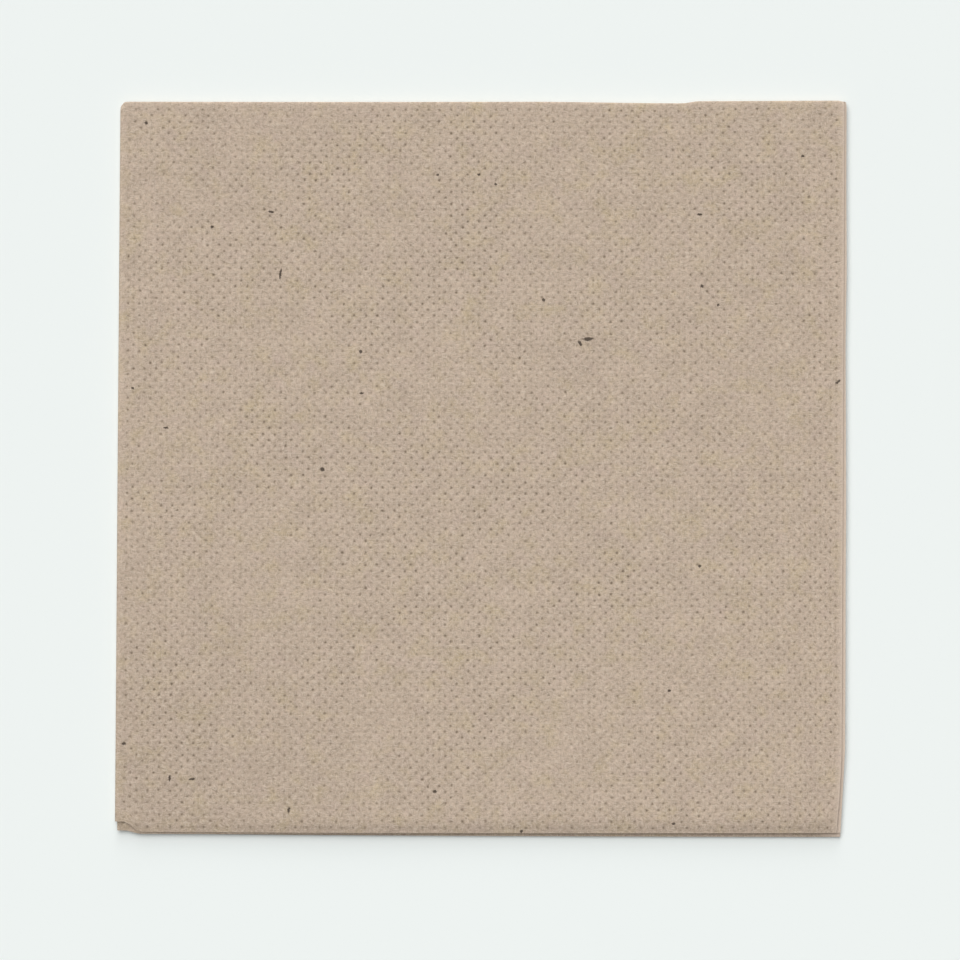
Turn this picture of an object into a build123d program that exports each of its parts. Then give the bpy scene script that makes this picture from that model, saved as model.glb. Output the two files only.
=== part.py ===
"""Paper napkin: one square sheet of embossed tissue, folded in half twice into a flat quarter.

+Z is up. The first folds lie along the back (+Y), the last fold along the left (-X), and the sheet's cut edges
along the right (+X) and the front (-Y). The origin is the centre of the footprint, on the surface that the
napkin lies on. Sizes are in millimetres.
"""

import os

from build123d import *

# Overall size of the folded napkin
folded_width = 125.5  # X, from the last fold to the furthest cut edge
folded_depth = 126.3  # Y, from the first folds to the furthest cut edge

# The sheet, and the air that springy embossed leaves keep between them
sheet_thickness = 0.25  # two plies of tissue, embossed together
leaf_gap = 0.14  # between the two leaves of a pair, and inside the first folds
pair_gap = 0.18  # between the lower and the upper pair, and inside the last fold

# How far each leaf's cut edges stop short of the overall size. The outer leaves have further to go round the
# last fold, so they end sooner at the right. The fold is a little askew, so no two front edges line up.
top_leaf = {"right": 0.60, "front_left": 0.60, "front_right": 0.85}
second_leaf = {"right": 0.12, "front_left": 0.00, "front_right": 0.30}
third_leaf = {"right": 0.00, "front_left": 0.00, "front_right": 0.10}
bottom_leaf = {"right": 0.40, "front_left": 0.60, "front_right": 0.45}

# The outer wrap is pulled back at the front end of the last fold, where the inner wrap shows as a small tab
pulled_back = 1.35  # how far the outer wrap stops short of the overall size
pulled_back_run = 2.10  # width over which the outer leaves' front edges slant back to it

reach = 1.00  # how far the trimming shapes go past the sheet

# Heights and places that follow from the sizes
pair_height = 2 * sheet_thickness + leaf_gap
fold_radius = pair_height + pair_gap / 2  # outside of the last fold, and the height of its axis
stack_height = 2 * fold_radius
left = -folded_width / 2
right = folded_width / 2
front = -folded_depth / 2
back = folded_depth / 2
last_fold_x = left + fold_radius  # axis of the last fold
first_fold_y = back - pair_height / 2  # axis of the bend in each first fold
inner_wrap_radius = pair_gap / 2 + sheet_thickness  # outside of the inner wrap in the last fold


def beyond_leaf(leaf, lower_face, is_outer):
    """Plan shape of all that lies past one leaf's cut edges, at the height of that leaf's lower face."""
    cut_edge = right - leaf["right"]
    with BuildSketch(Plane.XY.offset(lower_face)) as beyond:
        Rectangle(folded_width + 4 * reach, folded_depth + 4 * reach)
        with BuildLine():
            if is_outer:
                Polyline(
                    (left - reach, front + pulled_back),
                    (last_fold_x, front + pulled_back),
                    (last_fold_x + pulled_back_run, front + leaf["front_left"]),
                    (cut_edge, front + leaf["front_right"]),
                )
            else:
                Polyline((left - reach, front + leaf["front_left"]), (cut_edge, front + leaf["front_right"]))
            Polyline(
                (cut_edge, front + leaf["front_right"]),
                (cut_edge, back + reach),
                (left - reach, back + reach),
                (left - reach, front + (pulled_back if is_outer else leaf["front_left"])),
            )
        make_face(mode=Mode.SUBTRACT)
    return beyond.sketch


# A pair of leaves in section: two legs joined at the back by the bend of a first fold
with BuildSketch(Plane.YZ.offset(last_fold_x)) as pair_section:
    with Locations((first_fold_y, pair_height / 2)):
        Circle(pair_height / 2)
    with Locations((front, 0)):
        Rectangle(first_fold_y - front, pair_height, align=(Align.MIN, Align.MIN))
    with Locations((first_fold_y, pair_height / 2)):
        Circle(leaf_gap / 2, mode=Mode.SUBTRACT)
    with Locations((front, sheet_thickness)):
        Rectangle(first_fold_y - front, leaf_gap, align=(Align.MIN, Align.MIN), mode=Mode.SUBTRACT)

# The outer wrap in section, round the last fold
with BuildSketch(Plane.XZ.offset(reach - front)) as outer_wrap_section:
    with Locations((last_fold_x, fold_radius)):
        Circle(fold_radius + reach)
        Circle(inner_wrap_radius + leaf_gap / 2, mode=Mode.SUBTRACT)
        Rectangle(
            fold_radius + reach,
            2 * (fold_radius + reach),
            align=(Align.MIN, Align.CENTER),
            mode=Mode.SUBTRACT,
        )

with BuildPart() as napkin:
    # The lower pair, the upper pair over it, and the last fold that carries both leaves of a pair round
    extrude(pair_section.sketch, amount=right - last_fold_x)
    mirror(about=Plane.XY.offset(fold_radius))
    last_fold_axis = Axis((last_fold_x, 0, fold_radius), (0, 1, 0))
    revolve(pair_section.sketch, axis=last_fold_axis, revolution_arc=180)

    # Each leaf is cut to its own edges, by a slab that reaches part way into the air above and below it
    slack = min(leaf_gap, pair_gap) / 3
    upper_pair = pair_height + pair_gap
    leaves = [
        (bottom_leaf, 0, True),
        (third_leaf, sheet_thickness + leaf_gap, False),
        (second_leaf, upper_pair, False),
        (top_leaf, upper_pair + sheet_thickness + leaf_gap, True),
    ]
    for leaf, lower_face, is_outer in leaves:
        cutter = beyond_leaf(leaf, lower_face - slack, is_outer)
        extrude(cutter, amount=sheet_thickness + 2 * slack, mode=Mode.SUBTRACT)
    extrude(outer_wrap_section.sketch, amount=-(reach + pulled_back), mode=Mode.SUBTRACT)

napkin.part.label = "napkin"
os.makedirs("parts", exist_ok=True)
export_step(napkin.part, "parts/napkin.step")

box = napkin.part.bounding_box()
print("size", box.size, "solids", len(napkin.part.solids()), "volume", round(napkin.part.volume))
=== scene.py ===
import math
import random

import bmesh
import bpy
import numpy as np
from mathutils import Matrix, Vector, noise


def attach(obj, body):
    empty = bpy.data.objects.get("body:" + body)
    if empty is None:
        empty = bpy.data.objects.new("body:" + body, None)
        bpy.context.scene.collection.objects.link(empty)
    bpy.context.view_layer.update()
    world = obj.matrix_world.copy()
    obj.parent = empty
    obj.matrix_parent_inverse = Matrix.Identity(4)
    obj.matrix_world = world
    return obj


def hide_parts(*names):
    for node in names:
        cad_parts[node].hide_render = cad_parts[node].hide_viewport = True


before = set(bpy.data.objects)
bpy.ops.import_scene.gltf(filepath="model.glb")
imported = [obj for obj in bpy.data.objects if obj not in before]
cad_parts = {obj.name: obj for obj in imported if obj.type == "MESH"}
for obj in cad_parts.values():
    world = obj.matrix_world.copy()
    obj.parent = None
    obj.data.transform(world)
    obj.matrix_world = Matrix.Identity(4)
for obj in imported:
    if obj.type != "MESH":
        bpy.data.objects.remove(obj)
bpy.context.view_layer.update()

mm = 0.001
paleGround = (0.855, 0.896, 0.879, 1)

# Everything about the sheet is in millimetres. Flat, it lies with its outside up: u runs across and v along,
# with the last fold at u = 0 and the first fold at v = 0. The half with v below 0 ends up outside, as the top
# and the bottom leaf, and the half with v above 0 lies inside.
napkin = {
    "halfWidth": 125.20,        # last fold to cut edge
    "outerLength": 125.16,      # first fold to cut edge, outside leaves
    "innerLength": 125.52,      # and inside leaves, at the last fold
    "innerSkew": 0.36,          # one inside leaf loses this and the other gains it towards the cut edge
    "thickness": 0.25,
    "leafGap": 0.14,            # air inside the first fold
    "pairGap": 0.18,            # air inside the last fold
    "edgeBand": 0.36,           # strip along a cut edge, where a painted highlight lies
    "sideHighlightWidth": 1.6,            # the painted highlight is so many times as wide on the right cut edge
    "frontHighlightShare": 0.15,          # and so faint on the front one
    "foldSteps": 6,             # mesh lines from a fold's middle to its end
    "innerStart": 1.2,          # first mesh row on the inside leaves past the bend
    "innerSteps": 9,            # mesh rows over the inside leaves, where no dot shows
    "coarse": 8,                # on the inside face one mesh line in so many is kept
    "skewFrom": 60.0,           # from the first fold, where the inside leaves start to run askew
    "smoothAngle": 50,
}

# Painted shade: the top leaf's colour is darker towards the front, most of all beside the last fold, where
# the stack dips and curls down
paintedFrontShade = {
    "bandFrom": 3.2,            # from the front cut edge
    "bandTo": 0.6,
    "besideFrom": 70.0,         # from the first fold
    "besideWidth": 75.0,        # from the last fold
    "besideShare": 0.62,
}

# Small round dots are pressed into the outside in staggered rows
emboss = {
    "pitchAcross": 1.952,
    "pitchAlong": 2.030,
    "columns": 126,             # half a pitch apart, on each leaf
    "rows": 122,
    "firstColumn": 1.90,        # from the last fold, past the strip that the fold has ironed out
    "firstRow": 1.39,
    "radius": 0.30,
    "depth": 0.10,
    "rimDepth": 0.55,           # the dot's rim goes down this share of it
    "unevenness": 0.24,         # how much one dot differs in depth from the next
    "wander": 0.06,             # and how far it stands from its place
    "broadSize": 17.0,          # patches where the dots are pressed harder or softer
    "broadShare": 0.5,
    "overall": 0.95,
    "least": 0.3,
    "seed": 11,
}

# How the folded sheet departs from a true square
shape = {
    # the paper has given a little: by so much at giveReach from the middle, growing with x squared, x times y
    # and so on
    "giveReach": 62.5,
    "acrossXX": 0.207,
    "acrossXY": -0.512,
    "acrossY": -0.033,
    "alongXX": 0.125,
    "alongXY": 0.102,
    "alongYY": -0.324,
    "alongX": -0.009,
    "backY": 63.05,             # first folds
    "leftX": -62.37,            # last fold
    "cutSkew": 1.65,            # the right cut edge runs in this much from back to front
    "cutGive": 12.0,            # width of paper that takes it up
    "innerTrim": 0.25,          # inside leaves stand out this much less than the folds alone would have them
    "innerTrimRun": 4.0,
    "cornerRadius": 1.3,        # where two folds meet
    "farCornerRadius": 0.8,     # where the first folds meet the cut edge
    "foldTakes": 0.22,          # the bend uses this much more paper than its width
    "puff": 0.10,               # how unevenly the stack is pressed flat
    "puffSize": 31.0,
    "smallPuff": 0.04,
    "smallPuffSize": 11.0,
    "wrapPull": 1.75,           # outer wrap of the last fold ends this far short of the front
    "innerPull": 0.55,          # and the wrap inside it
    "pullFrom": 1.7,            # from the last fold, where the front edges start to slant
    "pullTo": 4.4,              # and reach their full length
    "pullGive": 6.0,
    "droop": 0.16,              # the stack thins towards its front cut edges
    "droopRun": 1.5,
    "dentFrom": 8.0,            # the back edge sinks from here
    "dentTo": 35.0,             # to here
    "dentEnd": 37.5,            # and steps out again by here
    "dentDepth": 0.34,
    "dentGive": 8.0,
    "cornerRun": 0.80,          # all cut edges run in this much more over the last stretch
    "cornerStretch": 14.0,
    "lowerSkew": 0.80,          # lower leaves share this much of the skew, so they stand out past the top one
    "lowerWave": 0.16,          # and their cut edges wander
    "lowerWaveSize": 7.0,
    "crumple": 0.16,            # the front right corner has been bent and pressed flat again
    "crumpleReach": 4.5,
    "crumpleCreases": 2.1,
}


def foldRadii():
    # to the sheet's own middle, inside the first fold and the last fold
    leafRadius = (napkin["thickness"] + napkin["leafGap"]) / 2
    pairRadius = napkin["thickness"] + (napkin["leafGap"] + napkin["pairGap"]) / 2
    return leafRadius, pairRadius


def gridLines():
    halfColumn = emboss["pitchAcross"] / 2
    halfRow = emboss["pitchAlong"] / 2
    steps = napkin["foldSteps"]
    leafRadius, pairRadius = foldRadii()
    lastBend = (pairRadius + leafRadius) * math.pi / 2
    firstBend = leafRadius * math.pi / 2

    side = [lastBend * step / steps for step in range(1, steps + 1)]
    side.append((lastBend + emboss["firstColumn"]) / 2)
    side += [emboss["firstColumn"] + halfColumn * column for column in range(emboss["columns"])]
    side += [napkin["halfWidth"] - napkin["edgeBand"], napkin["halfWidth"]]
    across = [-place for place in reversed(side)] + [0.0] + side

    bend = [firstBend * step / 3 for step in range(1, 4)]
    outer = bend + [(firstBend + emboss["firstRow"]) / 2]
    outer += [emboss["firstRow"] + halfRow * row for row in range(emboss["rows"])]
    outer += [napkin["outerLength"] - napkin["edgeBand"], napkin["outerLength"]]
    innerStart = napkin["innerStart"]
    innerRun = napkin["innerLength"] - napkin["edgeBand"] - innerStart
    rowNumbers = range(napkin["innerSteps"] + 1)
    inner = bend + [innerStart + innerRun * row / napkin["innerSteps"] for row in rowNumbers]
    inner.append(napkin["innerLength"])
    along = [-place for place in reversed(outer)] + [0.0] + inner
    return across, along, lastBend, firstBend


def readPoints(mesh):
    points = np.empty(len(mesh.vertices) * 3)
    mesh.vertices.foreach_get("co", points)
    return points.reshape(-1, 3)


def writePoints(mesh, points):
    mesh.vertices.foreach_set("co", np.ascontiguousarray(points, dtype=np.float32).ravel())
    mesh.update()


def latticePlace(u, v):
    # column and row, counted in half pitches
    column = (np.abs(u) - emboss["firstColumn"]) / (emboss["pitchAcross"] / 2)
    row = (-v - emboss["firstRow"]) / (emboss["pitchAlong"] / 2)
    return column, row


def nearestDot(u, v):
    # dots stand where column + row is odd
    column, row = latticePlace(u, v)
    plus, minus = (column + row - 1) / 2, (column - row - 1) / 2
    plus, minus = np.round(plus), np.round(minus)
    dotColumn, dotRow = plus + minus + 1, plus - minus
    offU = (column - dotColumn) * emboss["pitchAcross"] / 2
    offV = (row - dotRow) * emboss["pitchAlong"] / 2
    real = (dotColumn >= 0) & (dotColumn < emboss["columns"]) & (dotRow >= 0) & (dotRow < emboss["rows"])
    return dotColumn.astype(int), dotRow.astype(int), np.hypot(offU, offV), real


def selectPoints(sheet, chosen):
    bpy.ops.mesh.select_mode(type="VERT")
    bpy.ops.mesh.select_all(action="DESELECT")
    cage = bmesh.from_edit_mesh(sheet.data)
    for vert, wanted in zip(cage.verts, chosen):
        vert.select = bool(wanted)
    cage.select_flush(True)
    bmesh.update_edit_mesh(sheet.data)


def flatSheet():
    across, along, lastBend, firstBend = gridLines()
    columns, rows = len(across), len(along)
    bpy.ops.object.select_all(action="DESELECT")
    bpy.ops.mesh.primitive_grid_add(x_subdivisions=columns - 1, y_subdivisions=rows - 1, size=1)
    sheet = bpy.context.object
    sheet.name = sheet.data.name = "foldedNapkin"
    points = readPoints(sheet.data)
    points[:, 0] = np.tile(across, rows)
    points[:, 1] = np.repeat(along, columns)
    writePoints(sheet.data, points)

    solid = sheet.modifiers.new("thickness", "SOLIDIFY")
    solid.thickness = napkin["thickness"]
    solid.offset = -1
    bpy.ops.object.modifier_apply(modifier=solid.name)

    # thin out the mesh where nothing embossed will show: the inside face and the inside leaves
    bendColumn = [abs(place) <= lastBend + 1e-6 for place in across]
    bendRow = [abs(place) <= firstBend + 1e-6 for place in along]
    innerRow = [place > firstBend - 1e-6 for place in along]
    topCount = columns * rows
    bpy.ops.object.mode_set(mode="EDIT")
    bpy.ops.mesh.select_mode(type="EDGE")
    bpy.ops.mesh.select_all(action="DESELECT")
    cage = bmesh.from_edit_mesh(sheet.data)
    for edge in cage.edges:
        first, second = edge.verts[0].index, edge.verts[1].index
        inside = first >= topCount and second >= topCount
        if (first >= topCount) != (second >= topCount):
            continue
        if inside:
            first, second = first - topCount, second - topCount
        columnA, rowA = first % columns, first // columns
        columnB, rowB = second % columns, second // columns
        if columnA == columnB:
            spare = columnA % napkin["coarse"] and 0 < columnA < columns - 1 and not bendColumn[columnA]
            edge.select = bool(spare and (inside or (innerRow[rowA] and innerRow[rowB])))
        elif rowA == rowB:
            spare = rowA % napkin["coarse"] and 0 < rowA < rows - 1 and not bendRow[rowA]
            edge.select = bool(spare and inside and not innerRow[rowA])
    bmesh.update_edit_mesh(sheet.data)
    bpy.ops.mesh.dissolve_edges(use_verts=True)

    # the points between dots are joined to each other, so that the paper swells between the dots
    cage = bmesh.from_edit_mesh(sheet.data)
    points = np.array([vert.co for vert in cage.verts])
    _, _, away, real = nearestDot(points[:, 0], points[:, 1])
    outside = real & (points[:, 2] > -0.01) & (points[:, 1] < 0)
    isDot = outside & (away < 0.01)
    selectPoints(sheet, outside & (away > 0.9))
    bpy.ops.mesh.vert_connect()

    # a small face for each dot, which on the top leaf gets a middle point too
    selectPoints(sheet, isDot)
    bpy.ops.mesh.bevel(offset=emboss["radius"], affect="VERTICES", segments=1)
    bpy.ops.mesh.select_mode(type="FACE")
    cage = bmesh.from_edit_mesh(sheet.data)
    for face in cage.faces:
        if face.select and face.calc_center_median().x < 0:
            face.select = False
    bmesh.update_edit_mesh(sheet.data)
    bpy.ops.mesh.poke()
    bpy.ops.object.mode_set(mode="OBJECT")
    print("flat sheet:", int(isDot.sum()), "dots,", len(sheet.data.polygons), "faces")
    return sheet


def smoothStep(low, high, value):
    share = np.clip((value - low) / (high - low), 0, 1)
    return share * share * (3 - 2 * share)


def softNoise(points, size, seed):
    offset = Vector((seed * 7.3, seed * 3.1, seed * 1.7))
    return np.array([noise.noise(Vector((float(x), float(y), 0)) / size + offset) for x, y in points])


def pressDots(sheet):
    points = readPoints(sheet.data)
    u, v, w = points[:, 0].copy(), points[:, 1].copy(), points[:, 2].copy()
    column, row, away, real = nearestDot(u, v)
    outside = (w > -0.01) & (v < -0.4)
    near = outside & real & (away < emboss["radius"] * 1.2)

    draw = random.Random(emboss["seed"])
    strength, wander = {}, {}
    for leaf in (0, 1):
        for c in range(emboss["columns"]):
            for r in range(emboss["rows"]):
                if (c + r) % 2:
                    strength[leaf, c, r] = 1 + emboss["unevenness"] * draw.gauss(0, 1)
                    aside = emboss["wander"] * draw.gauss(0, 1)
                    ahead = emboss["wander"] * draw.gauss(0, 1)
                    wander[leaf, c, r] = [aside, ahead]
    broad = softNoise(np.column_stack([u, v]), emboss["broadSize"], 3)
    pressed = np.zeros(len(u))
    for index in np.nonzero(near)[0]:
        one = strength[int(u[index] < 0), int(column[index]), int(row[index])]
        one = emboss["overall"] * one * (1 + emboss["broadShare"] * broad[index])
        share = 1.0 if away[index] < 0.05 else emboss["rimDepth"]
        pressed[index] = max(emboss["least"], one) * share
    points[:, 2] -= pressed * emboss["depth"]

    width, length = napkin["halfWidth"], napkin["outerLength"]
    # painted highlight, a light rim along the cut edges
    cutEdgeHighlight = smoothStep(width - napkin["sideHighlightWidth"] * napkin["edgeBand"], width, np.abs(u))
    frontEdge = smoothStep(length - napkin["edgeBand"], length, -v)
    cutEdgeHighlight = np.maximum(cutEdgeHighlight, napkin["frontHighlightShare"] * frontEdge)
    # painted shade towards the front cut edge and beside the last fold
    frontShadeMask = smoothStep(length - paintedFrontShade["bandFrom"], length - paintedFrontShade["bandTo"], np.abs(v))
    besideFold = smoothStep(paintedFrontShade["besideFrom"], length, -v)
    besideFold = besideFold * (1 - smoothStep(0, paintedFrontShade["besideWidth"], np.abs(u)))
    frontShadeMask = np.maximum(frontShadeMask, paintedFrontShade["besideShare"] * besideFold)
    marks = sheet.data.color_attributes.new("marks", "FLOAT_COLOR", "POINT")
    values = np.ones((len(u), 4), dtype=np.float32)
    values[:, 0] = np.clip(pressed, 0, 2)
    values[:, 1] = cutEdgeHighlight
    values[:, 2] = frontShadeMask
    marks.data.foreach_set("color", values.ravel())

    # the flat place of every point goes into the UV map, which the paper's pattern follows
    if not sheet.data.uv_layers:
        sheet.data.uv_layers.new(name="flatSheet")
    layer = sheet.data.uv_layers[0]
    layer.name = "flatSheet"
    corner = np.empty(len(sheet.data.loops), dtype=np.int32)
    sheet.data.loops.foreach_get("vertex_index", corner)
    flat = np.column_stack([u / (2 * napkin["halfWidth"]) + 0.5, v / (2 * napkin["halfWidth"]) + 0.5])
    layer.data.foreach_set("uv", flat[corner].astype(np.float32).ravel())

    # no dot stands quite in its place, and the inside leaves' front edges run askew
    for index in np.nonzero(near)[0]:
        points[index, :2] += wander[int(u[index] < 0), int(column[index]), int(row[index])]
    askew = napkin["innerSkew"] * u / napkin["halfWidth"]
    points[:, 1] -= askew * smoothStep(napkin["skewFrom"], napkin["innerLength"], v)
    writePoints(sheet.data, points)
    print("dots pressed in:", int(near.sum()), "points moved")


def foldSheet(sheet):
    points = readPoints(sheet.data)
    u, v = points[:, 0], points[:, 1]
    height = points[:, 2] + napkin["thickness"] / 2           # from the sheet's own middle
    leafRadius, pairRadius = foldRadii()
    pairHeight = 2 * napkin["thickness"] + napkin["leafGap"]
    foldRadius = pairHeight + napkin["pairGap"] / 2
    quarterTurn = math.pi / 2

    # first fold, front half over the back half
    turn = np.clip(-v / leafRadius, -quarterTurn, quarterTurn)
    past = np.maximum(np.abs(v) - leafRadius * quarterTurn, 0)
    y = shape["backY"] - pairHeight / 2 + (leafRadius + height) * np.cos(turn) - past
    rise = (leafRadius + height) * np.sin(turn)

    # last fold, which carries the pair of leaves round
    radius = pairRadius + leafRadius * np.sin(turn)
    turn = np.clip(u / radius, -quarterTurn, quarterTurn)
    past = np.maximum(np.abs(u) - radius * quarterTurn, 0)
    x = shape["leftX"] + foldRadius - (pairRadius + rise) * np.cos(turn) + past
    z = foldRadius + (pairRadius + rise) * np.sin(turn)
    outer = smoothStep(-0.3, 0.3, -v)                          # 1 on the outside leaves
    x, y, z = shapeStack(u, v, x, y, z, outer)
    writePoints(sheet.data, np.column_stack([x, y, z]) * mm)
    print("folded: %.2f x %.2f x %.2f mm" % (np.ptp(x), np.ptp(y), np.ptp(z)))


def shapeStack(u, v, x, y, z, outer):
    left, back = shape["leftX"], shape["backY"]
    right = left + napkin["halfWidth"] - shape["foldTakes"]
    front = back - napkin["outerLength"]

    # the right cut edge isn't quite square to the folds
    toFront = back - y
    lower = 1 - outer * (u > 0)
    skew = shape["cutSkew"] * toFront / napkin["outerLength"]
    skew = skew * (1 - (1 - shape["lowerSkew"]) * lower)
    stretch = np.clip((toFront - napkin["outerLength"]) / shape["cornerStretch"] + 1, 0, 1)
    skew = skew + shape["cornerRun"] * stretch ** 1.5
    alongEdge = np.column_stack([np.zeros(len(y)), y])
    skew = skew + shape["lowerWave"] * lower * softNoise(alongEdge, shape["lowerWaveSize"], 5)
    x = x - skew * np.clip((x - right + shape["cutGive"]) / shape["cutGive"], 0, 1) ** 1.5
    x = x - shape["innerTrim"] * (1 - outer) * smoothStep(right - shape["innerTrimRun"], right, x)

    # rounded corners at the back
    x, y = roundCorner(x, y, left, back, 1, shape["cornerRadius"])
    x, y = roundCorner(x, y, right, back, -1, shape["farCornerRadius"])

    # a dent in the back edge, and front edges that are drawn back beside the last fold
    dent = shape["dentDepth"] * smoothStep(shape["dentFrom"], shape["dentTo"], x)
    dent = dent * (1 - smoothStep(shape["dentTo"], shape["dentEnd"], x))
    y = y - dent * smoothStep(back - shape["dentGive"], back, y)
    pull = shape["innerPull"] + (shape["wrapPull"] - shape["innerPull"]) * outer
    pull = pull * (1 - smoothStep(left + shape["pullFrom"], left + shape["pullTo"], x))
    y = y + pull * (1 - smoothStep(front, front + shape["pullGive"], y))

    # thinner at the front, and creased across the front right corner
    z = z * (1 - shape["droop"] * (1 - smoothStep(front, front + shape["droopRun"], y)))
    fromCorner = (right - x) + (y - front)
    nearCorner = 1 - smoothStep(shape["crumpleReach"], 1.6 * shape["crumpleReach"], fromCorner)
    z = z * (1 - shape["crumple"] * nearCorner * np.sin(fromCorner * shape["crumpleCreases"]) ** 2)

    # uneven pressing
    plan = np.column_stack([x, y])
    lift = 1 + shape["puff"] * softNoise(plan, shape["puffSize"], 1)
    lift = lift + shape["smallPuff"] * softNoise(plan, shape["smallPuffSize"], 2)
    z = z * lift

    across, along = paperGive(x, y)
    return x + across, y + along, z


def paperGive(x, y):
    # how far the paper has given at a place, across and along
    p, q = x / shape["giveReach"], y / shape["giveReach"]
    across = shape["acrossXX"] * p * p + shape["acrossXY"] * p * q + shape["acrossY"] * q
    along = shape["alongXX"] * p * p + shape["alongXY"] * p * q
    along = along + shape["alongYY"] * q * q + shape["alongX"] * p
    return across, along


def roundCorner(x, y, cornerX, cornerY, side, radius):
    inX = (radius - (x - cornerX) * side) / radius
    inY = (radius - (cornerY - y)) / radius
    inside = (inX > 0) & (inY > 0)
    inX, inY = np.where(inside, inX, 0), np.where(inside, inY, 0)
    pull = np.where(inside, np.maximum(inX, inY) / np.maximum(np.hypot(inX, inY), 1e-9), 1)
    newX = np.where(inside, cornerX + side * (radius - radius * inX * pull), x)
    newY = np.where(inside, cornerY - (radius - radius * inY * pull), y)
    return newX, newY


def addNode(tree, kind, settings=None, inputs=None):
    node = tree.nodes.new(kind)
    for name, value in (settings or {}).items():
        setattr(node, name, value)
    for name, value in (inputs or {}).items():
        if isinstance(value, bpy.types.NodeSocket):
            tree.links.new(value, node.inputs[name])
        else:
            node.inputs[name].default_value = value
    return node


def newGroup(name, inputs, outputs):
    group = bpy.data.node_groups.new(name, "ShaderNodeTree")
    for socketName, kind, value in inputs:
        socket = group.interface.new_socket(name=socketName, in_out="INPUT", socket_type=kind)
        if value is not None:
            socket.default_value = value
    for socketName, kind in outputs:
        group.interface.new_socket(name=socketName, in_out="OUTPUT", socket_type=kind)
    start = group.nodes.new("NodeGroupInput")
    end = group.nodes.new("NodeGroupOutput")
    return group, start.outputs, end.inputs


def mathNode(tree, operation, first, second=0.0, third=None):
    inputs = {0: first, 1: second}
    if third is not None:
        inputs[2] = third
    return addNode(tree, "ShaderNodeMath", {"operation": operation}, inputs).outputs[0]


def fibreGroup():
    # broken streaks that wander: noise drawn out along one direction, and cut off at a level
    group, given, result = newGroup("fibreMarks", [
        ("Place", "NodeSocketVector", None),
        ("Turn", "NodeSocketFloat", 0.0),
        ("Length", "NodeSocketFloat", 1.5),
        ("Width", "NodeSocketFloat", 0.15),
        ("Level", "NodeSocketFloat", 0.62),
        ("Seed", "NodeSocketFloat", 0.0),
    ], [("Mask", "NodeSocketFloat")])
    bend = addNode(group, "ShaderNodeTexNoise", {}, {"Vector": given["Place"], "Scale": 0.35, "Detail": 1.0})
    offset = addNode(group, "ShaderNodeVectorMath", {"operation": "MULTIPLY_ADD"},
                     {0: bend.outputs["Color"], 1: (1.6, 1.6, 0), 2: given["Place"]})
    turned = addNode(group, "ShaderNodeVectorRotate", {"rotation_type": "Z_AXIS"},
                     {"Vector": offset.outputs[0], "Angle": given["Turn"]})
    split = addNode(group, "ShaderNodeSeparateXYZ", {}, {0: turned.outputs[0]})
    alongFibre = mathNode(group, "DIVIDE", split.outputs[0], given["Length"])
    acrossFibre = mathNode(group, "DIVIDE", split.outputs[1], given["Width"])
    place = addNode(group, "ShaderNodeCombineXYZ", {}, {0: alongFibre, 1: acrossFibre, 2: given["Seed"]})
    streak = addNode(group, "ShaderNodeTexNoise", {},
                     {"Vector": place.outputs[0], "Scale": 1.0, "Detail": 0.0})
    top = mathNode(group, "ADD", given["Level"], 0.12)
    mask = addNode(group, "ShaderNodeMapRange", {"interpolation_type": "SMOOTHSTEP"},
                   {"Value": streak.outputs[0], "From Min": given["Level"], "From Max": top})
    group.links.new(mask.outputs[0], result["Mask"])
    return group


def latticeGroup():
    # how far a place on the flat sheet is from the nearest embossed dot
    group, given, result = newGroup("dotLattice", [("Place", "NodeSocketVector", None)],
                                    [("Distance", "NodeSocketFloat")])
    split = addNode(group, "ShaderNodeSeparateXYZ", {}, {0: given["Place"]})
    halfColumn, halfRow = emboss["pitchAcross"] / 2, emboss["pitchAlong"] / 2
    fromFold = mathNode(group, "ABSOLUTE", mathNode(group, "SUBTRACT", split.outputs[0], napkin["halfWidth"]))
    column = mathNode(group, "SUBTRACT", fromFold, emboss["firstColumn"])
    column = mathNode(group, "DIVIDE", column, halfColumn)
    row = mathNode(group, "SUBTRACT", napkin["halfWidth"] - emboss["firstRow"], split.outputs[1])
    row = mathNode(group, "DIVIDE", row, halfRow)
    plus = mathNode(group, "MULTIPLY_ADD", mathNode(group, "ADD", column, row), 0.5, -0.5)
    minus = mathNode(group, "MULTIPLY_ADD", mathNode(group, "SUBTRACT", column, row), 0.5, -0.5)
    plus = mathNode(group, "SUBTRACT", plus, mathNode(group, "ROUND", plus))
    minus = mathNode(group, "SUBTRACT", minus, mathNode(group, "ROUND", minus))
    offU = mathNode(group, "MULTIPLY", mathNode(group, "ADD", plus, minus), halfColumn)
    offV = mathNode(group, "MULTIPLY", mathNode(group, "SUBTRACT", plus, minus), halfRow)
    off = addNode(group, "ShaderNodeCombineXYZ", {}, {0: offU, 1: offV})
    far = addNode(group, "ShaderNodeVectorMath", {"operation": "LENGTH"}, {0: off.outputs[0]})
    group.links.new(far.outputs["Value"], result["Distance"])
    return group


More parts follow.
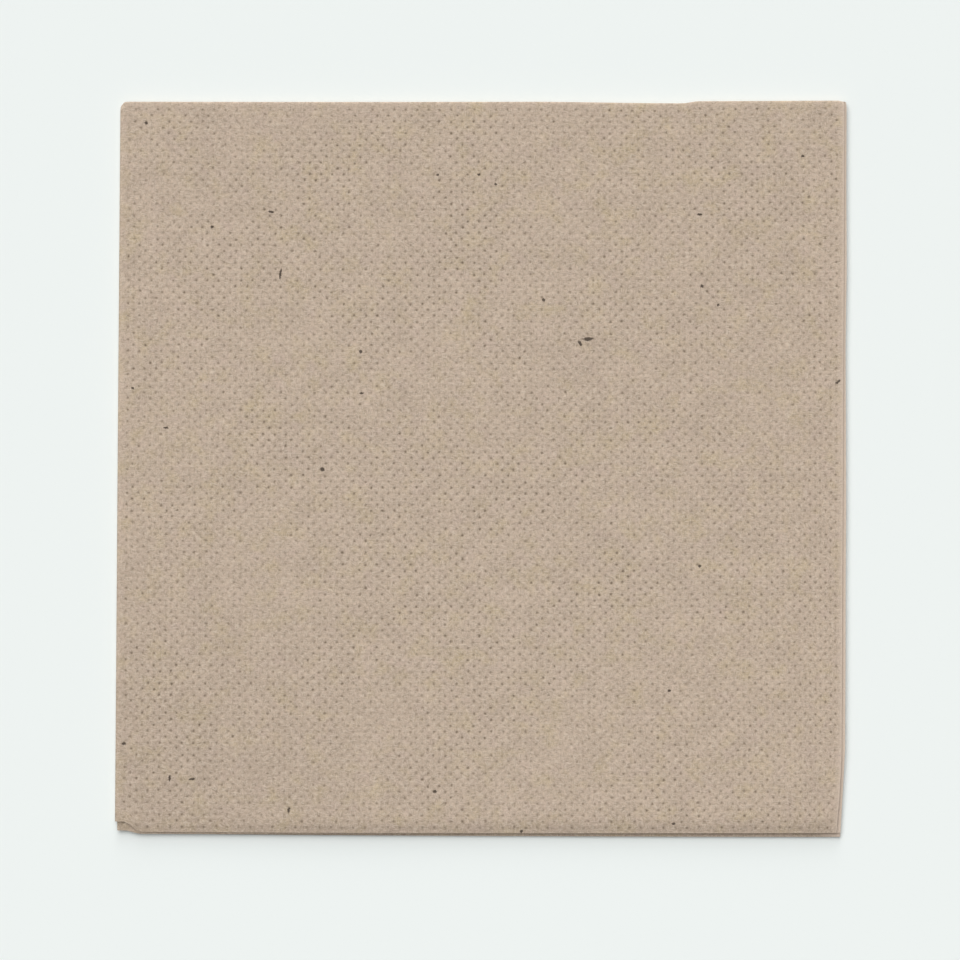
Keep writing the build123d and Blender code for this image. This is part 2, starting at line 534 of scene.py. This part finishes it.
def speckGroup():
    # one bit of bark or coloured pulp: a small ellipse with a ragged outline
    group, given, result = newGroup("speck", [
        ("Place", "NodeSocketVector", None),
        ("Centre", "NodeSocketVector", None),
        ("Turn", "NodeSocketFloat", 0.0),
        ("Size", "NodeSocketVector", None),
    ], [("Mask", "NodeSocketFloat")])
    ragged = addNode(group, "ShaderNodeTexNoise", {}, {"Vector": given["Place"], "Scale": 3.5, "Detail": 1.0})
    offset = addNode(group, "ShaderNodeVectorMath", {"operation": "MULTIPLY_ADD"},
                     {0: ragged.outputs["Color"], 1: (0.40, 0.40, 0), 2: given["Place"]})
    centred = addNode(group, "ShaderNodeVectorMath", {"operation": "SUBTRACT"},
                      {0: offset.outputs[0], 1: given["Centre"]})
    centred = addNode(group, "ShaderNodeVectorMath", {"operation": "SUBTRACT"},
                      {0: centred.outputs[0], 1: (0.20, 0.20, 0)})
    turned = addNode(group, "ShaderNodeVectorRotate", {"rotation_type": "Z_AXIS"},
                     {"Vector": centred.outputs[0], "Angle": given["Turn"]})
    scaled = addNode(group, "ShaderNodeVectorMath", {"operation": "DIVIDE"},
                     {0: turned.outputs[0], 1: given["Size"]})
    far = addNode(group, "ShaderNodeVectorMath", {"operation": "LENGTH"}, {0: scaled.outputs[0]})
    mask = addNode(group, "ShaderNodeMapRange", {"interpolation_type": "SMOOTHSTEP"},
                   {"Value": far.outputs["Value"], "From Min": 1.0, "From Max": 0.55})
    group.links.new(mask.outputs[0], result["Mask"])
    return group


tissue = {
    "base": (0.520, 0.413, 0.322, 1),
    "rosy": (0.532, 0.414, 0.342, 1),
    "straw": (0.516, 0.413, 0.276, 1),
    "dark": (0.200, 0.155, 0.110, 1),
    "light": (0.700, 0.600, 0.490, 1),
    "bark": (0.060, 0.045, 0.035, 1),
    # painted highlight along the cut edges
    "edge": (0.660, 0.545, 0.450, 1),
    "roughness": 0.93,
    "specular": 0.15,
    "cloudScale": 0.21,
    "tintScale": 0.33,
    "grainScale": 1.7,
    "raggedScale": 2.4,         # the ragged outline of a dot
    "cloudShare": 0.30,         # how much clouds of pulp and fine grain change the shade
    "grainShare": 0.66,
    # painted shade towards the front: how far it darkens the colour
    "frontShadeStrength": 0.13,
    "darkFibre": 0.34,          # how far each blends to its own colour
    "lightFibre": 0.42,
    # dots darkened for denser paper and for painted shade in the dimples
    "dotShade": 0.72,
    "edgeHighlight": 0.8,
    "barkShade": 0.9,
    "barkSpread": 0.68,         # from a bit's size to the reach of its ragged outline
    "bumpDepth": 0.00004,
    "bumpStrength": 0.6,
    "lightRelief": 0.5,         # light fibres stand up and dark ones lie lower
    "darkRelief": -0.4,
}


# bits of bark and dark fibre on the top leaf, listed one by one: across and along from the middle,
# turn in degrees, length, width
barkBits = [
    (-27.1, -0.2, 0, 0.80, 0.70), (18.4, 22.1, 4, 1.6, 0.66), (17.0, 21.4, -50, 1.0, 0.46),
    (-57.2, 59.1, 0, 0.60, 0.50), (61.7, 14.8, 40, 1.05, 0.46), (-46.0, 41.3, 0, 0.55, 0.50),
    (-7.8, -55.3, 0, 0.60, 0.50), (37.5, -16.7, 0, 0.55, 0.50), (37.9, 31.1, 0, 0.55, 0.45),
    (40.7, 28.0, 0, 0.50, 0.45), (37.5, 43.4, 0, 0.95, 0.36), (32.3, -38.0, 0, 0.55, 0.45),
    (-32.8, -58.5, 90, 0.85, 0.42), (-35.8, 43.9, 0, 0.90, 0.36), (-34.2, 33.2, 85, 1.9, 0.32),
    (2.6, 48.6, 0, 0.50, 0.42), (-0.2, 50.3, 0, 0.50, 0.42), (10.8, 28.8, 0, 0.55, 0.45),
    (55.3, 53.4, 0, 0.55, 0.45), (33.0, -60.8, 0, 0.60, 0.45), (-61.0, -47.1, 0, 0.90, 0.40),
    (-20.5, 20.0, 0, 0.55, 0.50), (-20.4, 12.9, 0, 0.85, 0.32), (-7.3, 50.2, 0, 0.45, 0.40),
    (7.0, -62.1, 0, 0.55, 0.45), (-59.5, 13.7, 0, 0.45, 0.40), (-53.2, -53.1, 90, 0.90, 0.40),
    (-49.4, -53.2, 10, 0.95, 0.36), (-53.9, 6.9, 0, 0.85, 0.36),
]


def onSheet(x, y):
    # where a place on the top leaf, from the napkin's middle, lies on the flat sheet
    across, along = paperGive(x, y)
    flatX = x - across - shape["leftX"] + shape["foldTakes"] + napkin["halfWidth"]
    flatY = y - along - shape["backY"] + napkin["halfWidth"]
    return flatX, flatY


def blendColour(tree, factor, first, second):
    mix = addNode(tree, "ShaderNodeMix", {"data_type": "RGBA"})
    for socket, value in ((mix.inputs["Factor"], factor), (mix.inputs[6], first), (mix.inputs[7], second)):
        if isinstance(value, bpy.types.NodeSocket):
            tree.links.new(value, socket)
        else:
            socket.default_value = value
    return mix.outputs[2]


def tissueMaterial():
    material = bpy.data.materials.new("kraftTissue")
    material.use_nodes = True
    tree = material.node_tree
    shader = tree.nodes["Principled BSDF"]
    flat = addNode(tree, "ShaderNodeUVMap", {"uv_map": "flatSheet"})
    size = 2 * napkin["halfWidth"]
    place = addNode(tree, "ShaderNodeMapping", {}, {"Vector": flat.outputs[0], "Scale": (size, size, 1)})
    place = place.outputs[0]
    marks = addNode(tree, "ShaderNodeVertexColor", {"layer_name": "marks"})
    marks = addNode(tree, "ShaderNodeSeparateColor", {}, {0: marks.outputs[0]})
    pressed, cutEdgeHighlight, frontShadeMask = marks.outputs[0], marks.outputs[1], marks.outputs[2]

    # broad clouds of pulp
    cloud = addNode(tree, "ShaderNodeTexNoise", {},
                    {"Vector": place, "Scale": tissue["cloudScale"], "Detail": 3.0})
    tint = addNode(tree, "ShaderNodeTexNoise", {},
                   {"Vector": place, "Scale": tissue["tintScale"], "Detail": 1.0})
    tint = addNode(tree, "ShaderNodeSeparateColor", {}, {0: tint.outputs["Color"]})
    rosy = addNode(tree, "ShaderNodeMapRange", {},
                   {"Value": tint.outputs[0], "From Min": 0.5, "From Max": 1.0})
    straw = addNode(tree, "ShaderNodeMapRange", {},
                    {"Value": tint.outputs[1], "From Min": 0.5, "From Max": 0.9})
    colour = blendColour(tree, rosy.outputs[0], tissue["base"], tissue["rosy"])
    colour = blendColour(tree, straw.outputs[0], colour, tissue["straw"])

    # fine grain, then fibres darker and lighter than the pulp
    grain = addNode(tree, "ShaderNodeTexNoise", {},
                    {"Vector": place, "Scale": tissue["grainScale"], "Detail": 3.0})
    grain = grain.outputs[0]
    cloudShare, grainShare = tissue["cloudShare"], tissue["grainShare"]
    shade = mathNode(tree, "MULTIPLY_ADD", cloud.outputs[0], cloudShare, 1 - cloudShare / 2)
    grainShade = mathNode(tree, "MULTIPLY_ADD", grain, grainShare, 1 - grainShare / 2)
    shade = mathNode(tree, "MULTIPLY", shade, grainShade)
    # painted shade towards the front
    frontShadeStrength = mathNode(tree, "MULTIPLY_ADD", frontShadeMask, -tissue["frontShadeStrength"], 1.0)
    shade = mathNode(tree, "MULTIPLY", shade, frontShadeStrength)
    shaded = addNode(tree, "ShaderNodeVectorMath", {"operation": "SCALE"}, {0: colour, "Scale": shade})
    colour = shaded.outputs[0]

    fibres = fibreGroup()
    masks = {"dark": None, "light": None}
    # tone, turn, length, width, level that cuts the streaks off, seed
    runs = [
        ("dark", 0.0, 0.85, 0.17, 0.60, 1.0), ("dark", 1.5, 0.70, 0.15, 0.63, 2.0),
        ("dark", 0.6, 0.75, 0.13, 0.66, 3.0), ("light", 0.1, 0.90, 0.17, 0.59, 4.0),
        ("light", 1.6, 0.80, 0.15, 0.61, 5.0), ("light", 2.5, 0.80, 0.13, 0.64, 6.0),
    ]
    for tone, turn, length, width, level, seed in runs:
        node = addNode(tree, "ShaderNodeGroup", {"node_tree": fibres},
                       {"Place": place, "Turn": turn, "Length": length, "Width": width,
                        "Level": level, "Seed": seed})
        mask = node.outputs[0]
        masks[tone] = mask if masks[tone] is None else mathNode(tree, "MAXIMUM", masks[tone], mask)
    darkShare = mathNode(tree, "MULTIPLY", masks["dark"], tissue["darkFibre"])
    colour = blendColour(tree, darkShare, colour, tissue["dark"])
    lightShare = mathNode(tree, "MULTIPLY", masks["light"], tissue["lightFibre"])
    colour = blendColour(tree, lightShare, colour, tissue["light"])

    # pressed paper is denser and darker, and the dot colour also holds painted shade for the dimples' hollows
    ragged = addNode(tree, "ShaderNodeTexNoise", {},
                     {"Vector": place, "Scale": tissue["raggedScale"], "Detail": 1.0})
    moved = addNode(tree, "ShaderNodeVectorMath", {"operation": "MULTIPLY_ADD"},
                    {0: ragged.outputs["Color"], 1: (0.5, 0.4, 0), 2: place})
    moved = addNode(tree, "ShaderNodeVectorMath", {"operation": "SUBTRACT"},
                    {0: moved.outputs[0], 1: (0.25, 0.2, 0)})
    lattice = addNode(tree, "ShaderNodeGroup", {"node_tree": latticeGroup()}, {"Place": moved.outputs[0]})
    dot = addNode(tree, "ShaderNodeMapRange", {"interpolation_type": "SMOOTHSTEP"},
                  {"Value": lattice.outputs[0], "From Min": 0.42, "From Max": 0.08})
    dotShade = mathNode(tree, "MULTIPLY", pressed, dot.outputs[0])
    dotShade = mathNode(tree, "MULTIPLY", dotShade, tissue["dotShade"])
    colour = blendColour(tree, dotShade, colour, tissue["dark"])
    # painted highlight along the cut edges
    edgeShare = mathNode(tree, "MULTIPLY", cutEdgeHighlight, tissue["edgeHighlight"])
    colour = blendColour(tree, edgeShare, colour, tissue["edge"])

    # bits of bark
    specks = speckGroup()
    allSpecks = None
    spread = tissue["barkSpread"]
    for x, y, turn, length, width in barkBits:
        u, v = onSheet(x, y)
        node = addNode(tree, "ShaderNodeGroup", {"node_tree": specks},
                       {"Place": place, "Centre": (u, v, 0), "Turn": math.radians(-turn),
                        "Size": (spread * length, spread * width, 1)})
        mask = node.outputs[0]
        allSpecks = mask if allSpecks is None else mathNode(tree, "MAXIMUM", allSpecks, mask)
    barkShare = mathNode(tree, "MULTIPLY", allSpecks, tissue["barkShade"])
    colour = blendColour(tree, barkShare, colour, tissue["bark"])
    tree.links.new(colour, shader.inputs["Base Color"])

    height = mathNode(tree, "MULTIPLY_ADD", masks["light"], tissue["lightRelief"], grain)
    height = mathNode(tree, "MULTIPLY_ADD", masks["dark"], tissue["darkRelief"], height)
    bump = addNode(tree, "ShaderNodeBump", {},
                   {"Height": height, "Distance": tissue["bumpDepth"], "Strength": tissue["bumpStrength"]})
    tree.links.new(bump.outputs[0], shader.inputs["Normal"])
    shader.inputs["Roughness"].default_value = tissue["roughness"]
    shader.inputs["Specular IOR Level"].default_value = tissue["specular"]
    return material


sheet = flatSheet()
pressDots(sheet)
foldSheet(sheet)
bpy.ops.object.select_all(action="DESELECT")
sheet.select_set(True)
bpy.context.view_layer.objects.active = sheet
bpy.ops.object.shade_smooth_by_angle(angle=math.radians(napkin["smoothAngle"]))
sheet.data.materials.clear()
sheet.data.materials.append(tissueMaterial())
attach(sheet, "root")
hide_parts("napkin")
sheet.data.calc_loop_triangles()
print("napkin:", len(sheet.data.loop_triangles), "triangles")


studio = {
    "floorSize": 4.0,
    # elevation, turn from +Y towards +X, spread of the light, and its share of the light on a level face
    "keyLight": (52, -22, 55, 0.46),
    "topLight": (76, -60, 80, 0.28),
    "lowLight": (17, 0, 22, 0.09),
    "fill": 0.17,
    "viewWidth": 164.66 * mm,
    "lens": 120.0,
    "sensorWidth": 36.0,
    "centre": (-0.09, -2.01),
}


def addFloor():
    bpy.ops.object.select_all(action="DESELECT")
    bpy.ops.mesh.primitive_plane_add(size=studio["floorSize"], location=(0, 0, -0.00002))
    floor = bpy.context.object
    floor.name = "floor"
    material = bpy.data.materials.new("paleFloor")
    material.use_nodes = True
    shader = material.node_tree.nodes["Principled BSDF"]
    shader.inputs["Base Color"].default_value = paleGround
    shader.inputs["Roughness"].default_value = 1.0
    shader.inputs["Specular IOR Level"].default_value = 0.0
    floor.data.materials.append(material)


def addSun(name, elevation, turn, spread, share):
    lamp = bpy.data.lights.new(name, "SUN")
    lamp.energy = math.pi * share / math.sin(math.radians(elevation))
    lamp.angle = math.radians(spread)
    holder = bpy.data.objects.new(name, lamp)
    bpy.context.scene.collection.objects.link(holder)
    level = math.cos(math.radians(elevation))
    toward = Vector((level * math.sin(math.radians(turn)), level * math.cos(math.radians(turn)),
                     math.sin(math.radians(elevation))))
    holder.rotation_euler = toward.to_track_quat("Z", "Y").to_euler()


def addWorld():
    world = bpy.data.worlds.new("studio")
    world.use_nodes = True
    tree = world.node_tree
    tree.nodes.clear()
    rays = tree.nodes.new("ShaderNodeLightPath")
    seen = mathNode(tree, "MAXIMUM", rays.outputs["Is Camera Ray"], rays.outputs["Is Glossy Ray"])
    seen = mathNode(tree, "MAXIMUM", seen, rays.outputs["Is Transmission Ray"])
    lit = addNode(tree, "ShaderNodeBackground", {}, {"Color": (1, 1, 1, 1), "Strength": studio["fill"]})
    shown = addNode(tree, "ShaderNodeBackground", {}, {"Color": paleGround, "Strength": 1.0})
    mix = addNode(tree, "ShaderNodeMixShader", {}, {0: seen, 1: lit.outputs[0], 2: shown.outputs[0]})
    out = tree.nodes.new("ShaderNodeOutputWorld")
    tree.links.new(mix.outputs[0], out.inputs[0])
    bpy.context.scene.world = world


def addCamera():
    camera = bpy.data.cameras.new("camera")
    camera.lens = studio["lens"]
    camera.sensor_width = studio["sensorWidth"]
    holder = bpy.data.objects.new("camera", camera)
    bpy.context.scene.collection.objects.link(holder)
    distance = studio["viewWidth"] * studio["lens"] / studio["sensorWidth"]
    holder.location = (studio["centre"][0] * mm, studio["centre"][1] * mm, distance)
    camera.clip_start = 0.01
    bpy.context.scene.camera = holder


addFloor()
for lampName in ("keyLight", "topLight", "lowLight"):
    addSun(lampName, *studio[lampName])
addWorld()
addCamera()
bpy.context.scene.view_settings.view_transform = "Standard"
print("studio ready")
